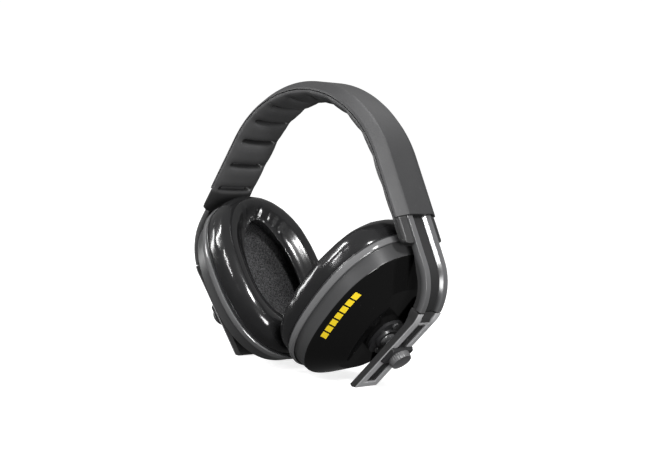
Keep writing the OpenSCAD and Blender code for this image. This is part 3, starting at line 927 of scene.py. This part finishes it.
def first_ring(bm, depth, a, b, sides):
    """The first open ring. Each point keeps its own turn round the oval for the rings that follow."""
    layer = bm.verts.layers.float.new("turn")
    ring = bmesh.ops.create_circle(bm, cap_ends=False, segments=sides, radius=1)
    for v in ring["verts"]:
        v[layer] = math.atan2(v.co.y, v.co.x)
        v.co = (depth, *power_oval(a, b, v[layer]))
    return bm.edges[:]


def between(low, high, t):
    """The ring at share t of the way from one ring to another."""
    return tuple(p + (q - p) * t for p, q in zip(low, high))


def shell_surface():
    """The back of the cup from rim to flat top, with the crease rounded by a few close rings."""
    bm = bmesh.new()
    ring = first_ring(bm, *shell_rim, shell_sides)
    stations = [between(shell_rim, shell_crease, t) for t in (0.04, 0.35, 0.7, 0.95, 0.975)]
    knee = between(shell_crease, shell_top, 0.012)
    stations += [between(between(shell_crease, knee, 0.5), shell_rim, 0.003), knee]
    stations += [between(shell_crease, shell_top, t) for t in (0.05, 0.35, 0.65, 0.94, 0.97)]
    stations += [between(between(shell_crease, shell_top, 0.99), (shell_top[0], 0, 0), 0.01)]
    stations += [(shell_top[0], shell_top[1] * k, shell_top[2] * k) for k in (0.95, 0.8)]
    for station in stations:
        ring = shell_ring(bm, ring, *station)
    return bm, ring


def carve(piece, tools):
    """Cuts or joins other forms with a piece, and keeps the result as its mesh."""
    for kind, tool_bm in tools:
        mesh = bpy.data.meshes.new("tool")
        tool_bm.to_mesh(mesh)
        tool_bm.free()
        tool = bpy.data.objects.new("tool", mesh)
        scene.collection.objects.link(tool)
        step = piece.modifiers.new("carve", "BOOLEAN")
        step.operation = kind
        step.solver = "EXACT"
        step.object = tool
        evaluated = piece.evaluated_get(bpy.context.evaluated_depsgraph_get())
        carved = bpy.data.meshes.new_from_object(evaluated)
        piece.modifiers.clear()
        old = piece.data
        piece.data = carved
        bpy.data.meshes.remove(old)
        bpy.data.objects.remove(tool)
        bpy.data.meshes.remove(mesh)


def box_form(low, high):
    """A block between two corners."""
    bm = bmesh.new()
    bmesh.ops.create_cube(bm, size=1)
    size = Vector(high) - Vector(low)
    for v in bm.verts:
        v.co = Vector([c * d for c, d in zip(v.co, size)]) + (Vector(low) + Vector(high)) / 2
    return bm


def round_form(radius, x0, x1):
    """A round post along the cup's axis, from x0 to x1."""
    bm = bmesh.new()
    bmesh.ops.create_cone(bm, cap_ends=True, segments=96, radius1=radius, radius2=radius,
                          depth=x1 - x0, matrix=Matrix.Translation(((x0 + x1) / 2, 0, 0)) @ on_edge)
    return bm


def ball_form(radius, x):
    """A ball centred on the cup's axis."""
    bm = bmesh.new()
    bmesh.ops.create_uvsphere(bm, u_segments=64, v_segments=32, radius=radius,
                              matrix=Matrix.Translation((x, 0, 0)))
    return bm


shell_bm, shell_open = shell_surface()
bmesh.ops.contextual_create(shell_bm, geom=shell_open)
rim_edges = [e for e in shell_bm.edges if e.is_boundary]
# The hollow inside, down to the thickness of the wall
ring = rim_edges
for station in [(shell_rim[0], shell_rim[1] - wall_t, shell_rim[2] - wall_t),
                (shell_crease[0] - 1 * mm, shell_crease[1] - wall_t, shell_crease[2] - wall_t),
                hollow_top]:
    ring = shell_ring(shell_bm, ring, *station)
bmesh.ops.contextual_create(shell_bm, geom=ring)
bmesh.ops.recalc_face_normals(shell_bm, faces=shell_bm.faces)
shell_mesh = bpy.data.meshes.new("shell")
shell_bm.to_mesh(shell_mesh)
shell_bm.free()
shell_form = bpy.data.objects.new("shell", shell_mesh)
scene.collection.objects.link(shell_form)
channel_low = (channel_floor, -channel_w / 2, -60 * mm)
channel_high = (40 * mm, channel_w / 2, 60 * mm)
carve(shell_form, [
    ("DIFFERENCE", box_form(channel_low, channel_high)),
    ("UNION", round_form(boss_r, boss_foot, boss_h)),
    ("DIFFERENCE", ball_form(socket_r, ball_h)),
])

for side, side_name in ((-1, "left"), (1, "right")):
    cup_bm = bmesh.new()
    cup_bm.from_mesh(shell_form.data)
    # The side wall below the crease is satin, and its paler colour is a painted reflection of the bright
    # surroundings
    satin_and_sheen_layer = cup_bm.verts.layers.float.new("satin_and_sheen")
    for v in cup_bm.verts:
        v[satin_and_sheen_layer] = 1.0 if v.co.x < shell_crease[0] - 0.1 * mm else 0.0
    put(cup_bm, cup_frame, side)
    finish_piece(cup_bm, f"{side_name}_cup", f"{side_name}_cup", "shell_gloss", shell_gloss,
                 f"{side_name}_cup_shell", sharp=30)

# ---- Rim band ----
# A narrow hoop of dark grey gloss plastic round the shell's rim, a little proud of the side wall.
# The cushion's plate clips in behind it.
rim_h = 3.9 * mm
rim_a = 53 * mm
rim_b = 39.5 * mm
rim_t = 1.1 * mm
# The section from its inner foot round to its inner top: depth, and how much less than full size
rim_section = [(0.1 * mm, 0.25 * mm), (0.35 * mm, 0.0), (rim_h - 0.5 * mm, 0.15 * mm),
               (rim_h, 0.5 * mm), (rim_h, 1.3 * mm)]
for side, side_name in ((-1, "left"), (1, "right")):
    rim_bm = bmesh.new()
    ring = first_ring(rim_bm, 0.1 * mm, rim_a - rim_t, rim_b - rim_t, shell_sides)
    start = ring
    for depth, less in rim_section:
        ring = shell_ring(rim_bm, ring, depth, rim_a - less, rim_b - less)
    bmesh.ops.bridge_loops(rim_bm, edges=start + ring)
    bmesh.ops.recalc_face_normals(rim_bm, faces=rim_bm.faces)
    put(rim_bm, cup_frame, side)
    finish_piece(rim_bm, f"{side_name}_rim", f"{side_name}_cup", "rim_gloss", rim_gloss,
                 f"{side_name}_rim_band", sharp=40)

# ---- Ear cushion ----
# A foam ring in a glossy vinyl skin, welded to a plate. It is fat outside, rolls over to a softer
# slope inside, and ends in a welded lip round the ear opening. The skin is gathered at the ends.
ear_out_a = 52.4 * mm
ear_out_b = 38.9 * mm
ear_hole_a = 30 * mm
ear_hole_b = 19 * mm
# The tube's section, as (share of the way out from the opening, depth from the rim's plane)
ear_section = [(0.965, -1.35 * mm), (0.995, -4.5 * mm), (0.99, -9.0 * mm), (0.9, -13.6 * mm),
               (0.71, -16.6 * mm), (0.5, -16.2 * mm), (0.32, -13.6 * mm), (0.18, -11.2 * mm),
               (0.07, -9.8 * mm), (0.0, -9.0 * mm), (0.05, -7.2 * mm), (0.2, -4.0 * mm),
               (0.3, -1.5 * mm), (0.42, -0.35 * mm), (0.7, -0.3 * mm), (0.9, -0.7 * mm)]
core_share = 0.6          # the middle of the section, which the foam core is drawn in to
core_depth = -8.5 * mm
core_shrink = 0.34
top_reach = 5.0 * mm      # how much higher the opening reaches at the top
top_lip = 2.6 * mm        # how much nearer the crest its lip is there
top_width = 0.65
lip_at = 0.57             # the lip's place round the section
lip_width = 0.09
press_gap = 1.1 * mm      # left free between the cushions, so that the cups can swivel
press_core = 4 * mm       # the foam core keeps this much farther back
press_spread = 0.11
press_round = 1.5 * mm
fold_count = 11           # sewn folds in half a turn
fold_top = 1.5
fold_foot = 0.6
skin_seed = 3.0
cushion_vinyl = soft_vinyl("cushion_vinyl", (0.012, 0.012, 0.0125), 0.16, leather=0.012, scale=1300,
                           level=0.45)


def on_loop(points, t):
    """A point of a smooth closed line through the given points; t runs from 0 to 1 round it."""
    count = len(points)
    i = int(t * count) % count
    k = t * count - int(t * count)
    p0, p1, p2, p3 = [Vector(points[(i + d) % count]) for d in (-1, 0, 1, 2)]
    return 0.5 * (2 * p1 + (p2 - p0) * k + (2 * p0 - 5 * p1 + 4 * p2 - p3) * k ** 2
                  + (3 * p1 - p0 - 3 * p2 + p3) * k ** 3)


def ear_ring(shrink, rounds, sides):
    """The cushion's tube, in the cup's frame; shrink draws it in towards its own middle."""
    bm = bmesh.new()
    turn_layer = bm.verts.layers.float.new("turn")
    section_layer = bm.verts.layers.float.new("section")
    bmesh.ops.create_grid(bm, x_segments=rounds, y_segments=sides, size=0.5)
    for v in bm.verts:
        turn = (v.co.x + 0.5) * math.tau
        t = (v.co.y + 0.5) % 1.0
        share, depth = on_loop(ear_section, t)
        share += (core_share - share) * shrink
        depth += (core_depth - depth) * shrink
        # At the top the opening reaches higher, and its lip stands nearer the crest
        top = math.exp(-(min(turn, math.tau - turn) / top_width) ** 2)
        hole_a = ear_hole_a + top_reach * top
        depth -= top_lip * (1 - 3 * shrink) * top * math.exp(-((t - lip_at) / lip_width) ** 2)
        a = hole_a + (ear_out_a - hole_a) * share
        b = ear_hole_b + (ear_out_b - ear_hole_b) * share
        v[turn_layer] = turn
        v[section_layer] = t
        y, z = power_oval(a, b, turn, 2.2 + 0.15 * share)
        # The two cushions press together at the foot, and flatten there as soft rings do
        room = press_gap + shrink * press_core + press_spread * abs(y)
        wall = -(cup_mid.x - room + cup_long.x * z) / cup_axis.x
        if depth < wall + press_round:
            depth = wall + press_round * math.exp((depth - wall - press_round) / press_round)
        v.co = (depth, y, z)
    bmesh.ops.remove_doubles(bm, verts=bm.verts, dist=0.01 * mm)
    bmesh.ops.recalc_face_normals(bm, faces=bm.faces)
    return bm


def gather_skin(bm, seed):
    """Folds the skin where it is drawn in round the opening's ends, and ripples its outer wall."""
    turn_layer = bm.verts.layers.float["turn"]
    section_layer = bm.verts.layers.float["section"]
    bm.normal_update()
    moves = []
    for v in bm.verts:
        turn = v[turn_layer]
        t = v[section_layer]
        top = math.exp(-(min(turn, math.tau - turn) / 0.55) ** 2)
        foot = math.exp(-((turn - math.pi) / 0.42) ** 2)
        inner = math.exp(-((t - 0.45) / 0.15) ** 2)
        wave = noise.noise(Vector((math.sin(turn) * 5 + seed, math.cos(turn) * 2, t * 2)))
        fold = 0.9 - 1.5 * abs(math.sin(turn * fold_count + 2.2 * wave + t)) ** 0.7
        outer = math.exp(-((t - 0.14) / 0.09) ** 2)
        ripple = noise.noise(v.co * 160 + Vector((seed, 0, 0)))
        gathers = (fold_top * top + fold_foot * foot) * inner * fold
        moves.append((gathers + 0.3 * outer * ripple + 0.3 * noise.noise(v.co * 60)) * mm)
    for v, move in zip(bm.verts, moves):
        v.co += v.normal * move


def open_foam(name, colour, scale, pores, depth):
    """Open-celled foam: dark pores between paler threads, with a relief of this many millimetres."""
    material = bpy.data.materials.new(name)
    material.use_nodes = True
    nodes = material.node_tree.nodes
    links = material.node_tree.links
    surface = nodes["Principled BSDF"]
    surface.label = "foam"
    surface.inputs["Roughness"].default_value = 0.85
    surface.inputs["Specular IOR Level"].default_value = 0.25
    place = nodes.new("ShaderNodeTexCoord")
    place.label = "place on the object"

    pore_frame = nodes.new("NodeFrame")
    pore_frame.label = "colour: pores and bright threads"
    cells = nodes.new("ShaderNodeTexVoronoi")
    cells.label = "cells"
    cells.parent = pore_frame
    cells.inputs["Scale"].default_value = scale
    cells.inputs["Randomness"].default_value = 1
    blotch = nodes.new("ShaderNodeTexNoise")
    blotch.label = "uneven blotches"
    blotch.parent = pore_frame
    blotch.inputs["Scale"].default_value = scale * 0.45
    blotch.inputs["Detail"].default_value = 6
    shade = nodes.new("ShaderNodeValToRGB")
    shade.label = "from pore to thread"
    shade.parent = pore_frame
    shade.color_ramp.elements[0].position = 0.36
    shade.color_ramp.elements[0].color = (*[c * pores for c in colour], 1)
    shade.color_ramp.elements[1].position = 0.72
    shade.color_ramp.elements[1].color = (*[min(c * 3, 1) for c in colour], 1)
    links.new(place.outputs["Object"], cells.inputs["Vector"])
    links.new(place.outputs["Object"], blotch.inputs["Vector"])
    links.new(blotch.outputs["Fac"], shade.inputs["Fac"])
    links.new(shade.outputs["Color"], surface.inputs["Base Color"])

    relief_frame = nodes.new("NodeFrame")
    relief_frame.label = "relief: open cells"
    bump = nodes.new("ShaderNodeBump")
    bump.label = "cell depth"
    bump.parent = relief_frame
    bump.inputs["Strength"].default_value = 1
    bump.inputs["Distance"].default_value = depth * mm
    links.new(cells.outputs["Distance"], bump.inputs["Height"])
    links.new(bump.outputs["Normal"], surface.inputs["Normal"])

    for i, node in enumerate([place, cells, blotch, shade, bump, surface]):
        node.location = (-900 + 230 * (i % 4), 300 - 320 * (i // 4))
    return material


foam_yellow = open_foam("cushion_foam", (0.55, 0.42, 0.16), 900, 0.7, 0.2)

for side, side_name in ((-1, "left"), (1, "right")):
    skin_bm = ear_ring(0, 192, 96)
    gather_skin(skin_bm, skin_seed)
    put(skin_bm, cup_frame, side)
    skin = finish_piece(skin_bm, f"{side_name}_cushion", f"{side_name}_cup", "cushion_vinyl", cushion_vinyl,
                        f"{side_name}_cushion_skin", sharp=60)
    foam_bm = ear_ring(core_shrink, 96, 40)
    put(foam_bm, cup_frame, side)
    foam = finish_piece(foam_bm, f"{side_name}_cushion_core", f"{side_name}_cup", "cushion_foam",
                        foam_yellow, f"{side_name}_cushion_foam", sharp=60)

# ---- Foam in the cup ----
# A thin sheet of speckled charcoal foam faces the ear, and a thick block of paler foam behind it
# fills the hollow of the shell. Both are cut to the cup's oval and only pushed in.
disc_h = 4.0 * mm
disc_t = 2.4 * mm
disc_a = 47.4 * mm
disc_b = 33.9 * mm
# The sheet's rings from the ear's side in: height over the rim's plane, half length, half width
disc_rings = [(disc_h - 0.9 * mm, disc_a * 0.3, disc_b * 0.3),
              (disc_h - 0.6 * mm, disc_a * 0.7, disc_b * 0.7),
              (disc_h, disc_a - 1.2 * mm, disc_b - 1.2 * mm),
              (disc_h + 0.6 * mm, disc_a, disc_b),
              (disc_h + disc_t - 0.1 * mm, disc_a, disc_b)]
liner_rings = [(6.6 * mm, 46.5 * mm, 33.2 * mm), (7.2 * mm, 47.2 * mm, 33.8 * mm),
               (10.4 * mm, 45.4 * mm, 33.4 * mm), (16.6 * mm, 33.4 * mm, 24.4 * mm),
               (17.3 * mm, 31.5 * mm, 22.5 * mm)]
disc_foam = open_foam("disc_foam", (0.028, 0.028, 0.029), 2300, 0.25, 0.4)
liner_foam = open_foam("liner_foam", (0.06, 0.06, 0.062), 1200, 0.4, 0.3)


def foam_block(stations):
    """A closed block of foam through the given rings."""
    bm = bmesh.new()
    ring = first_ring(bm, *stations[0], 96)
    bmesh.ops.contextual_create(bm, geom=ring)
    for station in stations[1:]:
        ring = shell_ring(bm, ring, *station)
    bmesh.ops.contextual_create(bm, geom=ring)
    bmesh.ops.recalc_face_normals(bm, faces=bm.faces)
    return bm


for side, side_name in ((-1, "left"), (1, "right")):
    disc_bm = foam_block(disc_rings)
    put(disc_bm, cup_frame, side)
    disc = finish_piece(disc_bm, f"{side_name}_ear_foam", f"{side_name}_cup", "disc_foam", disc_foam,
                        f"{side_name}_foam_disc", sharp=50)
    liner_bm = foam_block(liner_rings)
    put(liner_bm, cup_frame, side)
    liner = finish_piece(liner_bm, f"{side_name}_liner", f"{side_name}_cup", "liner_foam", liner_foam,
                         f"{side_name}_foam_liner", sharp=50)

# ---- Ball joint and cushion plate ----
# The stud's ball turns in a black nylon seat, held in the cup's boss by a plate with two screws.
# The stud, its clip, the washer and the screws are blackened steel. These turned and moulded
# pieces are shown as they were cut, with only their finish set here.
black_nylon = moulded_plastic("black_nylon", (0.02, 0.02, 0.021), 0.3)
dark_steel = moulded_plastic("dark_steel", (0.09, 0.09, 0.092), 0.25, grain=0.005, level=0.9)
nylon_nodes = ("ball_seat", "socket_plate", "cushion_plate")
steel_nodes = ("ball_stud", "stud_clip", "thrust_washer", "plate_screws")
for side_name in ("left", "right"):
    for look, names in ((black_nylon, nylon_nodes), (dark_steel, steel_nodes)):
        for name in names:
            frame["nodes"][f"{side_name}_{name}"].material_slots[0].material = look

# ---- Printed marks ----
# A row of seven plain yellow blocks is printed on the front slope of each cup, near the crease.
# Each block follows the slope, and its ink stands a hair over the shell's gloss.
mark_count = 7
mark_len = 4.0 * mm
mark_gap = 1.2 * mm
mark_w = 3.6 * mm
mark_lift = 0.04 * mm
mark_t = 0.5 * mm
row_up = 5.5 * mm         # the middle of the row, along the cup from the ball
row_in = 3.5 * mm         # from the crease up the slope
print_yellow = moulded_plastic("print_yellow", (0.75, 0.55, 0.02), 0.4, grain=0.003, level=0.3)
slope_dir = Vector((shell_top[0] - shell_crease[0], shell_crease[2] - shell_top[2], 0)).normalized()
slope_out = Vector((slope_dir.y, -slope_dir.x, 0))
for side, side_name in ((-1, "left"), (1, "right")):
    mark_bm = bmesh.new()
    for i in range(mark_count):
        z_mid = (i - (mark_count - 1) / 2) * (mark_len + mark_gap) + row_up
        low = Vector((shell_crease[0], -shell_crease[2], 0)) + slope_dir * row_in
        corners = []
        for along_slope, along_cup in ((0, -1), (1, -1), (1, 1), (0, 1)):
            z = z_mid + along_cup * mark_len / 2
            spot = low + slope_dir * mark_w * along_slope
            # The oval's side falls away from its widest line
            fall = 1 - (1 - abs(z / shell_crease[1]) ** cup_power) ** (1 / cup_power)
            spot.y += fall * shell_crease[2]
            spot += slope_out * mark_lift
            corners.append(mark_bm.verts.new((spot.x, spot.y, z)))
        block = mark_bm.faces.new(corners)
        thick = bmesh.ops.extrude_face_region(mark_bm, geom=[block])
        for v in [g for g in thick["geom"] if isinstance(g, bmesh.types.BMVert)]:
            v.co -= slope_out * mark_t
    bmesh.ops.recalc_face_normals(mark_bm, faces=mark_bm.faces)
    put(mark_bm, cup_frame, side)
    finish_piece(mark_bm, f"{side_name}_marks", f"{side_name}_cup", "shell_gloss", print_yellow)

# The shell's form was only a pattern for the two cups
bpy.data.meshes.remove(shell_form.data)
